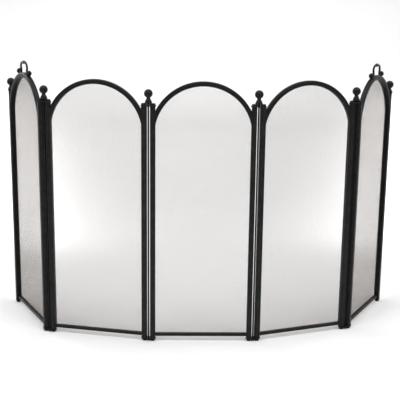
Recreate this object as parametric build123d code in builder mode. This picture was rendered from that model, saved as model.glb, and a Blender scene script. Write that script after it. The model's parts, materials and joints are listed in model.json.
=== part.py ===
"""Five-panel folding fireplace screen with arched tops, woven mesh and double-pivot hinges.

Millimetres, +Z up, the room side facing -Y. Panels are numbered 1 to 5 from left to right as seen
from the room, and a hinge takes the numbers of the two panels that it joins. The origin lies on the
floor under the middle of the screen's bounding box.
"""
import os
from math import cos, radians, sin, sqrt

from build123d import *

# Panel frame: rounded rectangular tube for the rails and the arch, a smaller one along the bottom
RAIL_PITCH = 302.0  # between the two rail axes of a panel
RAIL_WIDTH = 16.2
RAIL_DEPTH = 16.0
RAIL_CORNER = 3.5
TUBE_WALL = 1.2
RAIL_BOTTOM = 10.0
RAIL_TOP = 737.4
RAIL_PLUG = 14.0  # solid end of a rail, which takes a pivot pin
ARCH_CENTRE = 652.0  # height of the arch's centre
ARCH_RADIUS = 153.3  # to the middle of the tube
ARCH_WIDTH = 14.8
ARCH_DEPTH = 15.6
ARCH_CORNER = 5.0
ARCH_END = 682.8  # height of its lower ends
ARCH_HOLLOW_FROM = 27.5  # degrees above the horizontal
BOTTOM_RAIL_HEIGHT = 9.5
BOTTOM_RAIL_DEPTH = 11.0
BOTTOM_RAIL_CORNER = 3.0
BOTTOM_RAIL_MIDDLE = 18.9

# Mesh, laid on the back of the frame and held by a thin riveted strip
MESH_THICKNESS = 0.6
MESH_OVERLAP = 6.0  # past the edge of the opening
RETAINER_THICKNESS = 1.2
RETAINER_INNER = 0.5  # past the edge of the opening
RETAINER_OUTER = 7.0
RIVET_RADIUS = 2.0
RIVET_HEIGHT = 0.7
RIVET_INSET = 3.75  # from the opening's edge
RIVET_ROWS = 4
RIVET_COLUMNS = 2
RIVET_ARCH_ANGLES = (28, 59, 90, 121, 152)

# Hinges: two link plates, a tie rod and a ball finial between two rails
LINK_PITCH = 26.0  # between the two pivots of a hinge
LINK_RADIUS = 10.4
TOP_PLATE = 4.2
BOTTOM_PLATE = 3.5
RUNNING_GAP = 0.4  # rail end to link plate
HEAD_GAP = 0.3  # link plate to pin head
PIN_RADIUS = 3.0
PIN_CLEARANCE = 0.05
PIN_SEAT = 0.02  # radial gap in a pin's fixed seat
PIN_DEPTH = 10.0
HEAD_RADIUS = 8.2
HEAD_HEIGHT = 4.5
FOOT_RADIUS = 6.9
ROD_RADIUS = 2.6
ROD_HEAD_RADIUS = 5.7
ROD_HEAD_HEIGHT = 5.0
ROD_DEPTH = 6.0  # into the finial

# Ball finial, heights above the skirt's underside
BALL_RADIUS = 13.0
BALL_HEIGHT = 28.0
SKIRT_RADIUS = 11.1
SKIRT_LIP = 1.2
SKIRT_MIDDLE_RADIUS = 9.6
SKIRT_MIDDLE = 6.2
NECK_RADIUS = 6.0
NECK_HEIGHT = 13.0
NECK_TOP_RADIUS = 6.3
HUB_RADIUS = 4.4
SKIRT_GAP = 0.5  # above the pivot heads
END_CAP_RADIUS = 9.4
END_CAP = 3.5

# Lifting handle on each outer arch
HANDLE_WIRE = 3.3
HANDLE_BALL = 8.9
HANDLE_BALL_X = 48.3
HANDLE_BALL_Z = 813.6
HANDLE_FOOT = (24.5, 811.2)  # corners of the bent wire: distance from the middle, height
HANDLE_SHOULDER = (34.0, 832.5)
HANDLE_CROWN = (22.5, 843.3)
HANDLE_TOP = 845.8
HANDLE_BENDS = (5.0, 12.0, 20.0, 100.0)  # radii at the foot, shoulder, crown and top
GRIP_RADIUS = 5.6
GRIP_HALF_LENGTH = 23.0
GRIP_MIDDLE = 844.4

# How far each joint is folded back where the screen stands, in degrees
HINGE_23_ON_PANEL_3 = 7.5
PANEL_2_ON_HINGE_23 = 6.0
HINGE_12_ON_PANEL_2 = 3.5
PANEL_1_ON_HINGE_12 = 46.5
HINGE_34_ON_PANEL_3 = 6.0
PANEL_4_ON_HINGE_34 = 13.5
HINGE_45_ON_PANEL_4 = 2.5
PANEL_5_ON_HINGE_45 = 38.0

# Worked out from the dimensions above
OPENING_HALF = (RAIL_PITCH - RAIL_WIDTH) / 2
OPENING_BOTTOM = BOTTOM_RAIL_MIDDLE + BOTTOM_RAIL_HEIGHT / 2
ARCH_INNER = ARCH_RADIUS - ARCH_WIDTH / 2
ARCH_SPRING = ARCH_CENTRE + sqrt(ARCH_INNER**2 - OPENING_HALF**2)
MESH_FRONT = RAIL_DEPTH / 2
MESH_BACK = MESH_FRONT + MESH_THICKNESS
TOP_PLATE_Z = RAIL_TOP + RUNNING_GAP
BOTTOM_PLATE_Z = RAIL_BOTTOM - RUNNING_GAP - BOTTOM_PLATE
HEAD_Z = TOP_PLATE_Z + TOP_PLATE + HEAD_GAP
FOOT_TOP = BOTTOM_PLATE_Z - HEAD_GAP
HINGE_SKIRT_Z = HEAD_Z + HEAD_HEIGHT + SKIRT_GAP
END_SKIRT_Z = RAIL_TOP + END_CAP
UP = Vector(0, 0, 1)


# ---------------------------------------------------------------- where each piece stands


def heading(angle, side):
    """Direction on the floor of a piece folded back by angle, on the left (-1) or the right (+1)."""
    return Vector(side * cos(radians(angle)), sin(radians(angle)), 0)


def lay_out():
    """Centre and +X direction of each panel and hinge, with the middle panel at the origin."""
    places = {"panel_3": (Vector(0, 0, 0), Vector(1, 0, 0))}
    left = [
        ("hinge_23", HINGE_23_ON_PANEL_3, LINK_PITCH),
        ("panel_2", PANEL_2_ON_HINGE_23, RAIL_PITCH),
        ("hinge_12", HINGE_12_ON_PANEL_2, LINK_PITCH),
        ("panel_1", PANEL_1_ON_HINGE_12, RAIL_PITCH),
    ]
    right = [
        ("hinge_34", HINGE_34_ON_PANEL_3, LINK_PITCH),
        ("panel_4", PANEL_4_ON_HINGE_34, RAIL_PITCH),
        ("hinge_45", HINGE_45_ON_PANEL_4, LINK_PITCH),
        ("panel_5", PANEL_5_ON_HINGE_45, RAIL_PITCH),
    ]
    for side, chain in ((-1, left), (1, right)):
        pivot = Vector(side * RAIL_PITCH / 2, 0, 0)
        folded = 0
        for name, fold, length in chain:
            folded += fold
            away = heading(folded, side)
            places[name] = (pivot + away * (length / 2), away * side)
            pivot += away * length
    return places


def centred(places):
    """The same places, moved so that the bounding box's middle is over the origin."""
    ends = [rail_axis(places, "panel_1", -1), rail_axis(places, "panel_5", 1)]
    hinges = [places["hinge_23"][0], places["hinge_34"][0]]
    front = min(p.Y for p in hinges) - BALL_RADIUS
    back = max(p.Y for p in ends) + BALL_RADIUS
    shift = Vector(-(ends[0].X + ends[1].X) / 2, -(front + back) / 2, 0)
    return {name: (middle + shift, along) for name, (middle, along) in places.items()}


def rail_axis(places, panel, side):
    """Foot of a panel's rail axis, on its left (-1) or right (+1) side."""
    middle, along = places[panel]
    return middle + along * (side * RAIL_PITCH / 2)


def floor_plane(place):
    """Plane on the floor with X along the piece and Y towards its back."""
    return Plane(origin=place[0], x_dir=place[1], z_dir=UP)


def front_plane(place):
    """Upright plane through the piece's middle, X along it, Y up, normal towards its front."""
    return Plane(origin=place[0], x_dir=place[1], z_dir=place[1].cross(UP))


# ---------------------------------------------------------------- panel pieces


def make_rail(place, side):
    """Side rail: a tube with solid ends, bored at each end for a pivot pin or an end fitting."""
    floor = floor_plane(place)
    inner_top = RAIL_TOP - RAIL_PLUG
    inner_bottom = RAIL_BOTTOM + RAIL_PLUG
    with BuildPart() as rail:
        with BuildSketch(floor.offset(RAIL_BOTTOM)):
            with Locations((side * RAIL_PITCH / 2, 0)):
                RectangleRounded(RAIL_WIDTH, RAIL_DEPTH, RAIL_CORNER)
        extrude(amount=RAIL_TOP - RAIL_BOTTOM)
        with BuildSketch(floor.offset(inner_bottom)):
            with Locations((side * RAIL_PITCH / 2, 0)):
                inside = RAIL_CORNER - TUBE_WALL
                RectangleRounded(RAIL_WIDTH - 2 * TUBE_WALL, RAIL_DEPTH - 2 * TUBE_WALL, inside)
        extrude(amount=inner_top - inner_bottom, mode=Mode.SUBTRACT)
        for start in (RAIL_BOTTOM, RAIL_TOP - PIN_DEPTH):
            with BuildSketch(floor.offset(start)):
                with Locations((side * RAIL_PITCH / 2, 0)):
                    Circle(PIN_RADIUS + PIN_SEAT)
            extrude(amount=PIN_DEPTH, mode=Mode.SUBTRACT)
    return rail


def space_between_rails(floor, bottom):
    """Solid that fills the space between a panel's rails, coped round their corners."""
    with BuildPart() as space:
        with BuildSketch(floor.offset(bottom)):
            Rectangle(RAIL_PITCH - 2 * (RAIL_WIDTH / 2 - RAIL_CORNER), 3 * RAIL_DEPTH)
            with Locations((-RAIL_PITCH / 2, 0), (RAIL_PITCH / 2, 0)):
                RectangleRounded(RAIL_WIDTH, RAIL_DEPTH, RAIL_CORNER, mode=Mode.SUBTRACT)
        extrude(amount=ARCH_CENTRE + ARCH_RADIUS + ARCH_WIDTH - bottom)
    return space.part


def arch_section(place, angle):
    """Plane across the arch's tube at an angle above the horizontal, X pointing outward."""
    middle, along = place
    outward = along * cos(radians(angle)) + UP * sin(radians(angle))
    tangent = along * -sin(radians(angle)) + UP * cos(radians(angle))
    return Plane(origin=middle + UP * ARCH_CENTRE, x_dir=outward, z_dir=tangent)


def make_arch(place):
    """Arch: a slightly narrower tube, bent to a round arc that springs from the rails' inner sides.

    Its ends are closed where they are welded to the rails.
    """
    axis = Axis(origin=place[0] + UP * ARCH_CENTRE, direction=front_plane(place).z_dir)
    with BuildPart() as arch:
        with BuildSketch(arch_section(place, 0)):
            with Locations((ARCH_RADIUS, 0)):
                RectangleRounded(ARCH_WIDTH, ARCH_DEPTH, ARCH_CORNER)
        revolve(axis=axis, revolution_arc=180)
        add(space_between_rails(floor_plane(place), ARCH_END), mode=Mode.INTERSECT)
        with BuildSketch(arch_section(place, ARCH_HOLLOW_FROM)):
            with Locations((ARCH_RADIUS, 0)):
                inside = ARCH_CORNER - TUBE_WALL
                RectangleRounded(ARCH_WIDTH - 2 * TUBE_WALL, ARCH_DEPTH - 2 * TUBE_WALL, inside)
        hollow_arc = 180 - 2 * ARCH_HOLLOW_FROM
        revolve(axis=axis, revolution_arc=hollow_arc, mode=Mode.SUBTRACT)
    return arch


def make_bottom_rail(place):
    """Bottom rail: a small tube between the side rails, flush with their backs."""
    floor = floor_plane(place)
    across = Plane(
        origin=place[0] - place[1] * (RAIL_PITCH / 2) + UP * BOTTOM_RAIL_MIDDLE,
        x_dir=floor.y_dir,
        z_dir=place[1],
    )
    set_back = (RAIL_DEPTH - BOTTOM_RAIL_DEPTH) / 2
    with BuildPart() as bottom_rail:
        with BuildSketch(across):
            with Locations((set_back, 0)):
                RectangleRounded(BOTTOM_RAIL_DEPTH, BOTTOM_RAIL_HEIGHT, BOTTOM_RAIL_CORNER)
                inside = BOTTOM_RAIL_CORNER - TUBE_WALL
                RectangleRounded(
                    BOTTOM_RAIL_DEPTH - 2 * TUBE_WALL,
                    BOTTOM_RAIL_HEIGHT - 2 * TUBE_WALL,
                    inside,
                    mode=Mode.SUBTRACT,
                )
        extrude(amount=RAIL_PITCH)
        add(space_between_rails(floor, 0), mode=Mode.INTERSECT)
    return bottom_rail


def opening_outline(grow):
    """Edge of the panel's opening, moved outward by grow: straight sides under a round arc."""
    half = OPENING_HALF + grow
    radius = ARCH_INNER + grow
    bottom = OPENING_BOTTOM - grow
    spring = ARCH_CENTRE + sqrt(radius**2 - half**2)
    with BuildSketch() as outline:
        with BuildLine():
            Polyline((-half, spring), (-half, bottom), (half, bottom), (half, spring))
            ThreePointArc((half, spring), (0, ARCH_CENTRE + radius), (-half, spring))
        make_face()
    return outline.sketch


def make_mesh(place):
    """Mesh sheet on the frame's back, as thick as two crossed wires."""
    with BuildPart() as mesh:
        with BuildSketch(front_plane(place).offset(-MESH_FRONT)):
            add(opening_outline(MESH_OVERLAP))
        extrude(amount=-MESH_THICKNESS)
    return mesh


def rivet_spots():
    """Rivet centres on the retaining strip, in the panel's front plane."""
    side_x = OPENING_HALF + RIVET_INSET
    low = OPENING_BOTTOM - RIVET_INSET
    spots = []
    for row in range(RIVET_ROWS):
        height = low + 60 + (ARCH_SPRING - low - 100) * row / (RIVET_ROWS - 1)
        spots += [(-side_x, height), (side_x, height)]
    for column in range(RIVET_COLUMNS):
        spots.append((OPENING_HALF * (column - 0.5), low))
    for angle in RIVET_ARCH_ANGLES:
        reach = ARCH_INNER + RIVET_INSET
        spots.append((reach * cos(radians(angle)), ARCH_CENTRE + reach * sin(radians(angle))))
    return spots


def make_mesh_retainer(place):
    """Retaining strip behind the mesh, in one piece with its rivet heads."""
    front = front_plane(place)
    with BuildPart() as retainer:
        with BuildSketch(front.offset(-MESH_BACK)):
            add(opening_outline(RETAINER_OUTER))
            add(opening_outline(RETAINER_INNER), mode=Mode.SUBTRACT)
        extrude(amount=-RETAINER_THICKNESS)
        with BuildSketch(front.offset(-MESH_BACK - RETAINER_THICKNESS)):
            with Locations(*rivet_spots()):
                Circle(RIVET_RADIUS)
        extrude(amount=-RIVET_HEIGHT, taper=30)
    return retainer


def make_pivot_heads(place, sides):
    """Round-headed pivot pins that stand in the tops of the rails."""
    floor = floor_plane(place)
    spots = [(side * RAIL_PITCH / 2, 0) for side in sides]
    with BuildPart() as pins:
        with BuildSketch(floor.offset(RAIL_TOP - PIN_DEPTH)):
            with Locations(*spots):
                Circle(PIN_RADIUS)
        extrude(amount=HEAD_Z - RAIL_TOP + PIN_DEPTH)
        with BuildSketch(floor.offset(HEAD_Z)):
            with Locations(*spots):
                Circle(HEAD_RADIUS)
        extrude(amount=HEAD_HEIGHT)
        rims = pins.edges().filter_by(GeomType.CIRCLE).group_by(Axis.Z)
        fillet(rims[-1], radius=1.6)
    return pins


def make_pivot_feet(place, sides, end_side=None):
    """Pivot pins in the rails' lower ends, whose round heads are the feet.

    The free rail of an outer panel has the same foot with a flange in the link plate's place.
    """
    floor = floor_plane(place)
    spots = [(side * RAIL_PITCH / 2, 0) for side in sides]
    if end_side is not None:
        spots.append((end_side * RAIL_PITCH / 2, 0))
    with BuildPart() as feet:
        with BuildSketch(floor):
            with Locations(*spots):
                Circle(FOOT_RADIUS)
        extrude(amount=FOOT_TOP)
        soles = feet.edges().filter_by(GeomType.CIRCLE).group_by(Axis.Z)
        fillet(soles[0], radius=0.9)
        with BuildSketch(floor.offset(FOOT_TOP)):
            with Locations(*spots):
                Circle(PIN_RADIUS)
        extrude(amount=RAIL_BOTTOM + PIN_DEPTH - FOOT_TOP)
        if end_side is not None:
            with BuildSketch(floor.offset(FOOT_TOP)):
                with Locations(spots[-1]):
                    Circle(END_CAP_RADIUS)
            extrude(amount=RAIL_BOTTOM - FOOT_TOP)
    return feet


# ---------------------------------------------------------------- finials and handles


def finial_profile(skirt, base_radius, base):
    """Half outline of a turned ball finial, from its base up to the top of the ball."""
    neck_top = skirt + BALL_HEIGHT - sqrt(BALL_RADIUS**2 - NECK_TOP_RADIUS**2)
    ball_middle = skirt + BALL_HEIGHT
    with BuildSketch() as outline:
        with BuildLine():
            Polyline(
                (0, ball_middle + BALL_RADIUS),
                (0, base),
                (base_radius, base),
                (base_radius, skirt),
                (SKIRT_RADIUS, skirt),
                (SKIRT_RADIUS, skirt + SKIRT_LIP),
            )
            ThreePointArc(
                (SKIRT_RADIUS, skirt + SKIRT_LIP),
                (SKIRT_MIDDLE_RADIUS, skirt + SKIRT_MIDDLE),
                (NECK_RADIUS, skirt + NECK_HEIGHT),
            )
            ThreePointArc(
                (NECK_RADIUS, skirt + NECK_HEIGHT),
                (NECK_RADIUS - 0.15, (skirt + NECK_HEIGHT + neck_top) / 2),
                (NECK_TOP_RADIUS, neck_top),
            )
            ThreePointArc(
                (NECK_TOP_RADIUS, neck_top),
                (BALL_RADIUS, ball_middle),
                (0, ball_middle + BALL_RADIUS),
            )
        make_face()
    return outline.sketch


def make_hinge_finial(place):
    """Ball finial that screws down on the tie rod and stands on the top link plate."""
    upright = front_plane(place)
    plate_top = TOP_PLATE_Z + TOP_PLATE
    with BuildPart() as finial:
        with BuildSketch(upright):
            add(finial_profile(HINGE_SKIRT_Z, HUB_RADIUS, plate_top))
        revolve(axis=Axis(origin=place[0], direction=UP))
        with BuildSketch(floor_plane(place).offset(plate_top)):
            Circle(ROD_RADIUS + PIN_SEAT)
        extrude(amount=ROD_DEPTH + 1, mode=Mode.SUBTRACT)
    return finial


def make_end_finial(place, side):
    """Ball finial with a flange and a shank, on the top of an outer panel's free rail."""
    foot = place[0] + place[1] * (side * RAIL_PITCH / 2)
    upright = front_plane((foot, place[1]))
    with BuildPart() as finial:
        with BuildSketch(upright):
            add(finial_profile(END_SKIRT_Z, END_CAP_RADIUS, RAIL_TOP))
        revolve(axis=Axis(origin=foot, direction=UP))
        with BuildSketch(floor_plane((foot, place[1])).offset(RAIL_TOP - PIN_DEPTH)):
            Circle(PIN_RADIUS)
        extrude(amount=PIN_DEPTH)
    return finial


def make_handle(place):
    """Lifting handle: bent wire with a swelling at the top and a ball at each end.

    Its feet are coped to the arch, on which it is welded.
    """
    front = front_plane(place)
    side = place[1]
    right_corners = [(0, HANDLE_TOP), HANDLE_CROWN, HANDLE_SHOULDER, HANDLE_FOOT]
    right_corners.append((HANDLE_BALL_X, HANDLE_BALL_Z))
    left_corners = [(-across, up) for across, up in reversed(right_corners[1:])]
    foot_to_crown = list(HANDLE_BENDS[:3])
    with BuildPart() as handle:
        with BuildLine(front) as wire:
            FilletPolyline(
                *left_corners,
                *right_corners,
                radius=foot_to_crown + [HANDLE_BENDS[3]] + foot_to_crown[::-1],
            )
        with BuildSketch(Plane(origin=wire.line @ 0, z_dir=wire.line % 0)):
            Circle(HANDLE_WIRE)
        sweep()
        with BuildSketch(front):
            with BuildLine():
                ThreePointArc(
                    (-GRIP_HALF_LENGTH, GRIP_MIDDLE),
                    (0, GRIP_MIDDLE + GRIP_RADIUS),
                    (GRIP_HALF_LENGTH, GRIP_MIDDLE),
                )
                Line((-GRIP_HALF_LENGTH, GRIP_MIDDLE), (GRIP_HALF_LENGTH, GRIP_MIDDLE))
            make_face()
        revolve(axis=Axis(origin=place[0] + UP * GRIP_MIDDLE, direction=side))
        for end in (-1, 1):
            with Locations(place[0] + side * (end * HANDLE_BALL_X) + UP * HANDLE_BALL_Z):
                Sphere(HANDLE_BALL)
        with BuildSketch(front):
            with Locations((0, ARCH_CENTRE)):
                Circle(ARCH_RADIUS + ARCH_WIDTH / 2)
        extrude(amount=RAIL_DEPTH, both=True, mode=Mode.SUBTRACT)
    return handle


# ---------------------------------------------------------------- hinge pieces


def make_link_plate(place, bottom, thickness, rim):
    """Link plate with a pivot hole at each end and a hole for the tie rod in the middle."""
    floor = floor_plane(place)
    with BuildPart() as plate:
        with BuildSketch(floor.offset(bottom)):
            SlotCenterToCenter(LINK_PITCH, 2 * LINK_RADIUS)
            with Locations((-LINK_PITCH / 2, 0), (LINK_PITCH / 2, 0)):
                Circle(PIN_RADIUS + PIN_CLEARANCE, mode=Mode.SUBTRACT)
            Circle(ROD_RADIUS + PIN_SEAT, mode=Mode.SUBTRACT)
        extrude(amount=thickness)
        outer_face = plate.faces().sort_by(Axis.Z)[-1 if rim > 0 else 0]
        chamfer(outer_face.outer_wire().edges(), length=abs(rim))
    return plate


def make_tie_rod(place):
    """Long bolt between the rails, from its head under the bottom plate into the finial."""
    floor = floor_plane(place)
    with BuildPart() as rod:
        with BuildSketch(floor.offset(BOTTOM_PLATE_Z - ROD_HEAD_HEIGHT)):
            Circle(ROD_HEAD_RADIUS)
        extrude(amount=ROD_HEAD_HEIGHT)
        fillet(rod.edges().filter_by(GeomType.CIRCLE).group_by(Axis.Z)[0], radius=1.0)
        with BuildSketch(floor.offset(BOTTOM_PLATE_Z)):
            Circle(ROD_RADIUS)
        extrude(amount=TOP_PLATE_Z + TOP_PLATE + ROD_DEPTH - BOTTOM_PLATE_Z)
    return rod


# ---------------------------------------------------------------- the whole screen


def save(builder, name):
    """Label a finished piece and write it as its own file."""
    builder.part.label = name
    export_step(builder.part, f"parts/{name}.step")


def save_panel(places, number, pivot_sides, end_side=None):
    """Make and write every piece that is fixed to one panel."""
    name = f"panel_{number}"
    place = places[name]
    save(make_rail(place, -1), f"{name}_left_rail")
    save(make_rail(place, 1), f"{name}_right_rail")
    save(make_arch(place), f"{name}_arch")
    save(make_bottom_rail(place), f"{name}_bottom_rail")
    save(make_mesh(place), f"{name}_mesh")
    save(make_mesh_retainer(place), f"{name}_mesh_retainer")
    save(make_pivot_heads(place, pivot_sides), f"{name}_pivot_heads")
    save(make_pivot_feet(place, pivot_sides, end_side), f"{name}_pivot_feet")


def save_hinge(places, name):
    """Make and write the pieces of one hinge link."""
    place = places[name]
    save(make_link_plate(place, TOP_PLATE_Z, TOP_PLATE, 1.0), f"{name}_top_plate")
    save(make_link_plate(place, BOTTOM_PLATE_Z, BOTTOM_PLATE, -1.0), f"{name}_bottom_plate")
    save(make_tie_rod(place), f"{name}_tie_rod")
    save(make_hinge_finial(place), f"{name}_finial")


def main():
    os.makedirs("parts", exist_ok=True)
    places = centred(lay_out())
    save_panel(places, 1, (1,), -1)
    for number in (2, 3, 4):
        save_panel(places, number, (-1, 1))
    save_panel(places, 5, (-1,), 1)
    for name in ("hinge_12", "hinge_23", "hinge_34", "hinge_45"):
        save_hinge(places, name)
    for panel, side, word in (("panel_1", -1, "left"), ("panel_5", 1, "right")):
        save(make_end_finial(places[panel], side), f"{word}_end_finial")
        save(make_handle(places[panel]), f"{word}_handle")


main()
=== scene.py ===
"""Looks of the folding fireplace screen: powder-coated steel and a mesh of crossed wires."""
import json
import math

import bpy
import numpy as np
from mathutils import Matrix, Vector


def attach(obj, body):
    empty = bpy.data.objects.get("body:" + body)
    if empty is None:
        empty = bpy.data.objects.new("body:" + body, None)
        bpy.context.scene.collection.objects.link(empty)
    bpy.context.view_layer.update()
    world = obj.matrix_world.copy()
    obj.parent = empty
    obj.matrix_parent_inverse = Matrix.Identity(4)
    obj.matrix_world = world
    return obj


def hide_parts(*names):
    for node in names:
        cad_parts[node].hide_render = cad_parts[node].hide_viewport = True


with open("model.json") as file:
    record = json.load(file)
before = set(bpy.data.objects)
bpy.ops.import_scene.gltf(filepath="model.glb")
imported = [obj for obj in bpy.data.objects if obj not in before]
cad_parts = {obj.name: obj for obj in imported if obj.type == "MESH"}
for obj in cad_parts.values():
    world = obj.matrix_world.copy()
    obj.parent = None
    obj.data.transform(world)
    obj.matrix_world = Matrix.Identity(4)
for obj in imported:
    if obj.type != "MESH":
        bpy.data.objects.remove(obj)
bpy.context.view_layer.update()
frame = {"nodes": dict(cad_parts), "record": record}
scene = bpy.context.scene

# Panel geometry in metres, as in the CAD model
ARCH_CENTRE = 0.652
ARCH_INNER = 0.1459
OPENING_HALF = 0.1429
OPENING_BOTTOM = 0.02365
MESH_OVERLAP = 0.006
WIRE_PITCH = 0.0020
WIRE_RADIUS = 0.000185
WIRE_SIDES = 4
# From the edge of the mesh to the nearest wire, as a share of the pitch
SIDE_MARGIN, FOOT_MARGIN, CROWN_MARGIN = 0.2, 0.4, 0.3
SHORTEST_WIRE = 2 * WIRE_PITCH  # half of the length

# Floor and backdrop, in metres
FLOOR_HALF_WIDTH = 16.0
FLOOR_FRONT = -14.0
BACKDROP_START = 5.0
BACKDROP_RADIUS = 4.0
BACKDROP_TOP = 16.0
BACKDROP_STEPS = 12

WORLD_STRENGTH = 0.28
# Name, place, aim, width, height, watts and spread in degrees
LIGHTS = (
    ("overhead", (0, -0.9, 3.4), (0, -0.9, 0), 6.0, 3.5, 168, 180),
    ("front_left", (-3.0, -3.6, 2.6), (0, 0, 0.5), 1.6, 1.6, 28, 180),
    ("front_right", (3.0, -3.6, 2.6), (0, 0, 0.5), 1.6, 1.6, 28, 180),
    ("back_left", (-4.2, 3.4, 2.0), (-0.5, 0.2, 0.5), 1.8, 1.8, 80, 180),
    ("back_right", (4.4, 3.4, 2.0), (0.5, 0.2, 0.5), 1.8, 1.8, 35, 180),
    ("backdrop", (0, 3.2, 4.0), (0, 7.5, 1.2), 8.0, 2.0, 160, 180),
    ("wall", (0, 5.2, 2.2), (0, 8.2, 0.9), 7.0, 0.8, 48, 180),
    ("low_left", (-1.43, 3.2, 0.45), (-1.16, 3.26, 0), 5.0, 0.12, 5.5, 70),
    ("low_right", (1.58, 3.2, 0.45), (1.31, 3.27, 0), 5.0, 0.12, 5.5, 70),
)

CAMERA_PLACE = (-0.0792, -2.8765, 1.0945)
CAMERA_TURN = math.radians(1.455)  # to the right of +Y
CAMERA_DOWN = math.radians(13.40)
CAMERA_ROLL = math.radians(0.716)
CAMERA_FOCAL = 911.4 / 400  # in picture widths
SENSOR_WIDTH = 36.0


# ---------------------------------------------------------------- node material helpers


class Nodes:
    """A new material's node tree, with short calls to add and join nodes."""

    def __init__(self, name):
        self.material = bpy.data.materials.new(name)
        self.material.use_nodes = True
        self.tree = self.material.node_tree
        self.shader = self.tree.nodes["Principled BSDF"]

    def add(self, kind, **settings):
        """Add a node; settings are its attributes, or its inputs by name."""
        node = self.tree.nodes.new(kind)
        for key, value in settings.items():
            if hasattr(node, key):
                setattr(node, key, value)
            else:
                node.inputs[key.replace("_", " ")].default_value = value
        return node

    def join(self, source, target):
        self.tree.links.new(source, target)

    def object_coordinates(self):
        return self.add("ShaderNodeTexCoord").outputs["Object"]

    def noise(self, scale, detail=4.0, rough=0.55, vector=None):
        """Noise value from 0 to 1 in object space."""
        node = self.add("ShaderNodeTexNoise", Scale=scale, Detail=detail, Roughness=rough)
        self.join(vector or self.object_coordinates(), node.inputs["Vector"])
        return node.outputs["Fac"]

    def spread(self, value, low, high, start=0.3, end=0.7):
        """Map a value's start..end range to low..high."""
        node = self.add("ShaderNodeMapRange")
        node.inputs["From Min"].default_value = start
        node.inputs["From Max"].default_value = end
        node.inputs["To Min"].default_value = low
        node.inputs["To Max"].default_value = high
        self.join(value, node.inputs["Value"])
        return node.outputs["Result"]

    def math(self, operation, a, b):
        node = self.add("ShaderNodeMath", operation=operation)
        for socket, value in zip(node.inputs, (a, b)):
            if isinstance(value, (int, float)):
                socket.default_value = value
            else:
                self.join(value, socket)
        return node.outputs["Value"]

    def mix(self, factor, a, b):
        """Colour between a and b; each is a colour or an output."""
        node = self.add("ShaderNodeMix", data_type="RGBA")
        self.join(factor, node.inputs["Factor"])
        for socket, value in ((node.inputs[6], a), (node.inputs[7], b)):
            if isinstance(value, tuple):
                socket.default_value = (*value, 1)
            else:
                self.join(value, socket)
        return node.outputs[2]

    def bump(self, height, strength, distance):
        node = self.add("ShaderNodeBump", Strength=strength, Distance=distance)
        self.join(height, node.inputs["Height"])
        self.join(node.outputs["Normal"], self.shader.inputs["Normal"])


def powder_coat(name, dark, light, rough, peel):
    """Black powder coat: fine orange peel, slightly uneven sheen and a faint painted highlight
    along the sharp edges.
    """
    n = Nodes(name)
    broad = n.noise(9, detail=3)
    fine = n.noise(420, detail=2)
    colour = n.mix(n.spread(broad, 0, 1), dark, light)
    # Painted highlight: sharp edges, found by pointiness and broken up by noise, get a lighter
    # colour
    edge = n.spread(n.add("ShaderNodeNewGeometry").outputs["Pointiness"], 0, 1, 0.53, 0.62)
    patchy = n.spread(n.noise(60, detail=5), 0, 1, 0.45, 0.68)
    edge_highlight = n.math("MULTIPLY", n.math("MULTIPLY", edge, patchy), 0.35)
    highlight_colour = tuple(min(1, 3.0 * c + 0.008) for c in light)
    colour = n.mix(edge_highlight, colour, highlight_colour)
    n.join(colour, n.shader.inputs["Base Color"])
    sheen = n.math("ADD", n.spread(broad, -0.025, 0.025), n.spread(fine, -0.03, 0.03))
    # Where the painted edge highlight lies, the roughness is a little lower
    sheen = n.math("ADD", sheen, n.math("MULTIPLY", edge_highlight, -0.12))
    n.join(n.math("ADD", sheen, rough), n.shader.inputs["Roughness"])
    peel_height = n.math("ADD", fine, n.math("MULTIPLY", n.noise(1500, detail=1), 0.35))
    n.bump(peel_height, peel, 0.00012)
    n.shader.inputs["Specular IOR Level"].default_value = 0.18
    return n.material


def wire_coat(name, dark, light, rough):
    """Thin coat on drawn wire, with a slightly uneven tone and sheen."""
    n = Nodes(name)
    tone = n.noise(90, detail=4)
    colour = n.mix(n.spread(tone, 0, 1), dark, light)
    n.join(colour, n.shader.inputs["Base Color"])
    sheen = n.spread(n.noise(900, detail=2), rough - 0.06, rough + 0.06)
    n.join(sheen, n.shader.inputs["Roughness"])
    n.bump(n.noise(2600, detail=1), 0.2, 0.00003)
    n.shader.inputs["Specular IOR Level"].default_value = 0.4
    return n.material


frame_coat = powder_coat(
    "frame_powder_coat", (0.0042, 0.0041, 0.0042), (0.0062, 0.0060, 0.0062), 0.42, 0.26
)
fitting_coat = powder_coat(
    "fitting_enamel", (0.0038, 0.0038, 0.0040), (0.0056, 0.0056, 0.0060), 0.32, 0.16
)
hinge_coat = powder_coat(
    "hinge_powder_coat", (0.0040, 0.0040, 0.0042), (0.0060, 0.0060, 0.0063), 0.38, 0.22
)
strip_coat = powder_coat(
    "strip_powder_coat", (0.0045, 0.0045, 0.0046), (0.0070, 0.0070, 0.0072), 0.48, 0.26
)
mesh_coat = wire_coat("wire_coat", (0.150, 0.112, 0.084), (0.210, 0.158, 0.120), 0.45)

COATS = {"frame": frame_coat, "fittings": fitting_coat, "hinges": hinge_coat, "mesh": mesh_coat}


def paint_cad_nodes():
    """Give every CAD node the coat of its material slot; the mesh strips have a duller one."""
    slots = {part["node"]: part["material_slot"] for part in frame["record"]["subparts"]}
    for node, ob in frame["nodes"].items():
        coat = strip_coat if node.endswith("mesh_retainer") else COATS[slots[node]]
        for slot in ob.material_slots:
            slot.material = coat


# ---------------------------------------------------------------- wire mesh


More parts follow.
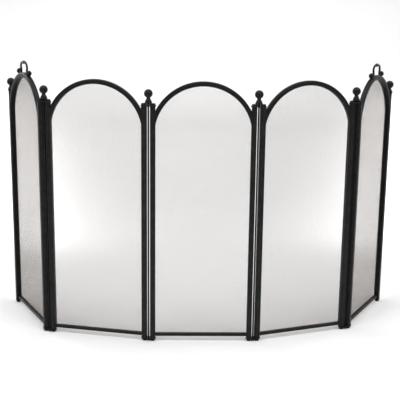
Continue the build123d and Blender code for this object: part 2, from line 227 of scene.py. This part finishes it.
def panel_frame(number):
    """Centre on the floor, direction along and direction to the back of a panel's mesh."""
    mesh = frame["nodes"][f"panel_{number}_mesh"].data
    points = np.empty(len(mesh.vertices) * 3, np.float32)
    mesh.vertices.foreach_get("co", points)
    flat = points.reshape(-1, 3)[:, :2].astype(float)
    middle = (flat.min(0) + flat.max(0)) / 2
    spread = flat - middle
    _, vectors = np.linalg.eigh(spread.T @ spread)
    along = vectors[:, 1]
    along = along if along[0] > 0 else -along
    return middle, along, np.array([-along[1], along[0]])


def tubes(paths, radius, sides):
    """Points and faces of the wires along paths.

    paths lists (points, runs_up), with the points in (across, up, depth).
    """
    turn = np.arange(sides) * 2 * math.pi / sides + math.pi / sides
    ring_side, ring_depth = np.cos(turn) * radius, np.sin(turn) * radius
    points, faces, base = [], [], 0
    for path, runs_up in paths:
        count = len(path)
        ring = np.repeat(path[:, None, :], sides, 1)
        ring[:, :, 0 if runs_up else 1] += ring_side
        ring[:, :, 2] += ring_depth
        points.append(ring.reshape(-1, 3))
        start = base + np.arange(count - 1)[:, None] * sides
        here = np.arange(sides)[None, :]
        there = (here + 1) % sides
        near, far = start + here, start + there
        quads = np.stack([near, far, far + sides, near + sides], -1)
        faces.append(quads.reshape(-1, 4))
        base += count * sides
    return np.concatenate(points), np.concatenate(faces)


def arch_half(height):
    """Half width of the mesh at a height."""
    half = OPENING_HALF + MESH_OVERLAP
    radius = ARCH_INNER + MESH_OVERLAP
    above = max(0.0, height - ARCH_CENTRE)
    return min(half, math.sqrt(max(0.0, radius**2 - above**2)))


def make_wires(number, upright):
    """Straight wires of one panel: the upright ones, or the level ones behind them."""
    half = OPENING_HALF + MESH_OVERLAP
    radius = ARCH_INNER + MESH_OVERLAP
    low, high = OPENING_BOTTOM - MESH_OVERLAP, ARCH_CENTRE + radius
    paths = []
    if upright:
        count = math.floor(half / WIRE_PITCH - SIDE_MARGIN)
        for x in np.arange(-count, count + 1) * WIRE_PITCH:
            top = ARCH_CENTRE + math.sqrt(radius**2 - x**2)
            paths.append((np.array([[x, low, WIRE_RADIUS], [x, top, WIRE_RADIUS]]), True))
    else:
        first, last = low + FOOT_MARGIN * WIRE_PITCH, high - CROWN_MARGIN * WIRE_PITCH
        for z in np.arange(first, last, WIRE_PITCH):
            reach = arch_half(z)
            if reach > SHORTEST_WIRE:
                ends = [[-reach, z, -WIRE_RADIUS], [reach, z, -WIRE_RADIUS]]
                paths.append((np.array(ends), False))
    points, faces = tubes(paths, WIRE_RADIUS, WIRE_SIDES)
    middle, along, back = panel_frame(number)
    placed = np.empty_like(points)
    placed[:, :2] = middle + points[:, :1] * along - points[:, 2:] * back
    placed[:, 2] = points[:, 1]
    name = f"panel_{number}_{'upright' if upright else 'level'}_wires"
    mesh = bpy.data.meshes.new(name)
    mesh.vertices.add(len(placed))
    mesh.vertices.foreach_set("co", placed.astype(np.float32).ravel())
    mesh.loops.add(faces.size)
    mesh.loops.foreach_set("vertex_index", faces.ravel().astype(np.int32))
    mesh.polygons.add(len(faces))
    mesh.polygons.foreach_set("loop_start", (np.arange(len(faces)) * 4).astype(np.int32))
    mesh.update(calc_edges=True)
    mesh.shade_smooth()
    mesh.materials.append(mesh_coat)
    ob = bpy.data.objects.new(name, mesh)
    scene.collection.objects.link(ob)
    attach(ob, f"panel_{number}")
    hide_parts(f"panel_{number}_mesh")


# ---------------------------------------------------------------- floor, light and camera


def floor_material():
    n = Nodes("pale_floor")
    tone = n.spread(n.noise(1.3, detail=3), 0, 1)
    n.join(n.mix(tone, (0.86, 0.86, 0.86), (0.88, 0.88, 0.88)), n.shader.inputs["Base Color"])
    n.shader.inputs["Roughness"].default_value = 0.9
    n.shader.inputs["Specular IOR Level"].default_value = 0.1
    return n.material


def make_floor():
    """Pale floor that curves up into a backdrop far behind."""
    profile = [(FLOOR_FRONT, 0.0), (BACKDROP_START, 0.0)]
    for step in range(1, BACKDROP_STEPS + 1):
        a = math.radians(step * 90 / BACKDROP_STEPS)
        y = BACKDROP_START + BACKDROP_RADIUS * math.sin(a)
        profile.append((y, BACKDROP_RADIUS - BACKDROP_RADIUS * math.cos(a)))
    profile.append((BACKDROP_START + BACKDROP_RADIUS, BACKDROP_TOP))
    verts = [(x, y, z) for x in (-FLOOR_HALF_WIDTH, FLOOR_HALF_WIDTH) for y, z in profile]
    count = len(profile)
    faces = [(i, i + count, i + count + 1, i + 1) for i in range(count - 1)]
    mesh = bpy.data.meshes.new("floor")
    mesh.from_pydata(verts, [], faces)
    mesh.shade_smooth()
    mesh.materials.append(floor_material())
    ob = bpy.data.objects.new("floor", mesh)
    scene.collection.objects.link(ob)


def make_light(name, place, aim, width, height, power, spread):
    data = bpy.data.lights.new(name, "AREA")
    data.shape = "RECTANGLE"
    data.size, data.size_y = width, height
    data.energy = power
    data.spread = math.radians(spread)
    ob = bpy.data.objects.new(name, data)
    ob.location = place
    ob.rotation_mode = "QUATERNION"
    ob.rotation_quaternion = (Vector(aim) - Vector(place)).to_track_quat("-Z", "Y")
    scene.collection.objects.link(ob)


def make_world(strength):
    world = bpy.data.worlds.new("studio")
    world.use_nodes = True
    background = world.node_tree.nodes["Background"]
    background.inputs["Color"].default_value = (1, 1, 1, 1)
    background.inputs["Strength"].default_value = strength
    scene.world = world


def make_camera():
    data = bpy.data.cameras.new("camera")
    data.sensor_fit = "HORIZONTAL"
    data.sensor_width = SENSOR_WIDTH
    data.lens = SENSOR_WIDTH * CAMERA_FOCAL
    data.clip_start, data.clip_end = 0.05, 200
    ob = bpy.data.objects.new("camera", data)
    level = Vector((math.sin(CAMERA_TURN), math.cos(CAMERA_TURN), 0))
    right = Vector((math.cos(CAMERA_TURN), -math.sin(CAMERA_TURN), 0))
    up = level * math.sin(CAMERA_DOWN) + Vector((0, 0, math.cos(CAMERA_DOWN)))
    turned_right = right * math.cos(CAMERA_ROLL) + up * math.sin(CAMERA_ROLL)
    turned_up = up * math.cos(CAMERA_ROLL) - right * math.sin(CAMERA_ROLL)
    back = turned_right.cross(turned_up)
    basis = Matrix((turned_right, turned_up, back)).transposed().to_4x4()
    ob.matrix_world = Matrix.Translation(CAMERA_PLACE) @ basis
    scene.collection.objects.link(ob)
    scene.camera = ob


paint_cad_nodes()
for number in range(1, 6):
    make_wires(number, True)
    make_wires(number, False)
make_floor()
make_world(WORLD_STRENGTH)
for light in LIGHTS:
    make_light(*light)
make_camera()
scene.view_settings.view_transform = "Standard"
scene.view_settings.look = "None"
scene.view_settings.exposure = 0.0
